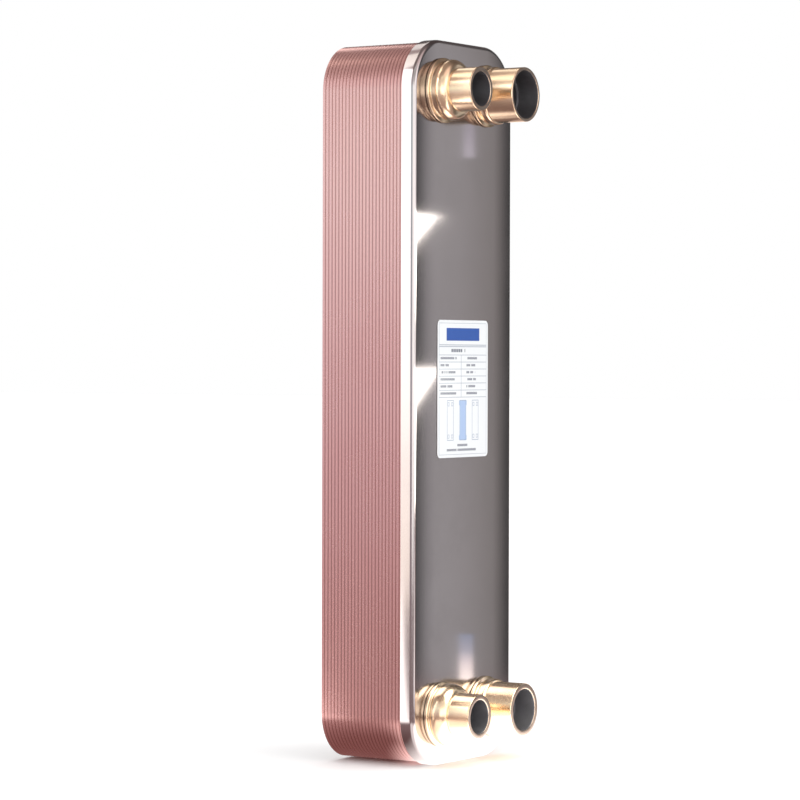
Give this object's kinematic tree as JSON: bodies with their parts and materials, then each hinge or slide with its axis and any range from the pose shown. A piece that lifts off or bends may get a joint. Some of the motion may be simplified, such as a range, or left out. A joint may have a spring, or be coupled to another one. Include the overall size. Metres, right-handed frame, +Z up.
{
  "type": "brazed plate heat exchanger",
  "caption": "Copper-brazed plate heat exchanger: pressed steel cover, a pack of nested herringbone plates, and solder connections near the corners of the face.",
  "frame": {"origin": "middle of the bounding box at the bottom, so the unit stands on z = 0", "axes": "+Z up along the plates, the connections point to -Y, +X to the right seen from the front"},
  "size_m": [0.11, 0.0942, 0.43],
  "materials": {
    "cover_steel": "satin rolled stainless sheet, warm grey",
    "copper_brazed_steel": "stainless pressing wetted with copper braze, satin pink",
    "brazed_gold_steel": "turned stainless, tinted gold by the brazing furnace, bright",
    "label_film": "printed film, satin"
  },
  "bodies": {
    "root": {"channel_plate_01": "copper_brazed_steel", "channel_plate_02": "copper_brazed_steel", "channel_plate_03": "copper_brazed_steel", "channel_plate_04": "copper_brazed_steel", "channel_plate_05": "copper_brazed_steel", "channel_plate_06": "copper_brazed_steel", "channel_plate_07": "copper_brazed_steel", "channel_plate_08": "copper_brazed_steel", "channel_plate_09": "copper_brazed_steel", "channel_plate_10": "copper_brazed_steel", "channel_plate_11": "copper_brazed_steel", "channel_plate_12": "copper_brazed_steel", "channel_plate_13": "copper_brazed_steel", "channel_plate_14": "copper_brazed_steel", "channel_plate_15": "copper_brazed_steel", "channel_plate_16": "copper_brazed_steel", "channel_plate_17": "copper_brazed_steel", "channel_plate_18": "copper_brazed_steel", "channel_plate_19": "copper_brazed_steel", "channel_plate_20": "copper_brazed_steel", "channel_plate_21": "copper_brazed_steel", "channel_plate_22": "copper_brazed_steel", "channel_plate_23": "copper_brazed_steel", "channel_plate_24": "copper_brazed_steel", "front_seal_plate": "copper_brazed_steel", "rear_seal_plate": "copper_brazed_steel", "front_cover": "cover_steel", "rear_cover": "cover_steel", "stub_top_left": "brazed_gold_steel", "stub_top_right": "brazed_gold_steel", "stub_bottom_left": "brazed_gold_steel", "stub_bottom_right": "brazed_gold_steel", "rating_label": "label_film"}
  },
  "joints": []
}
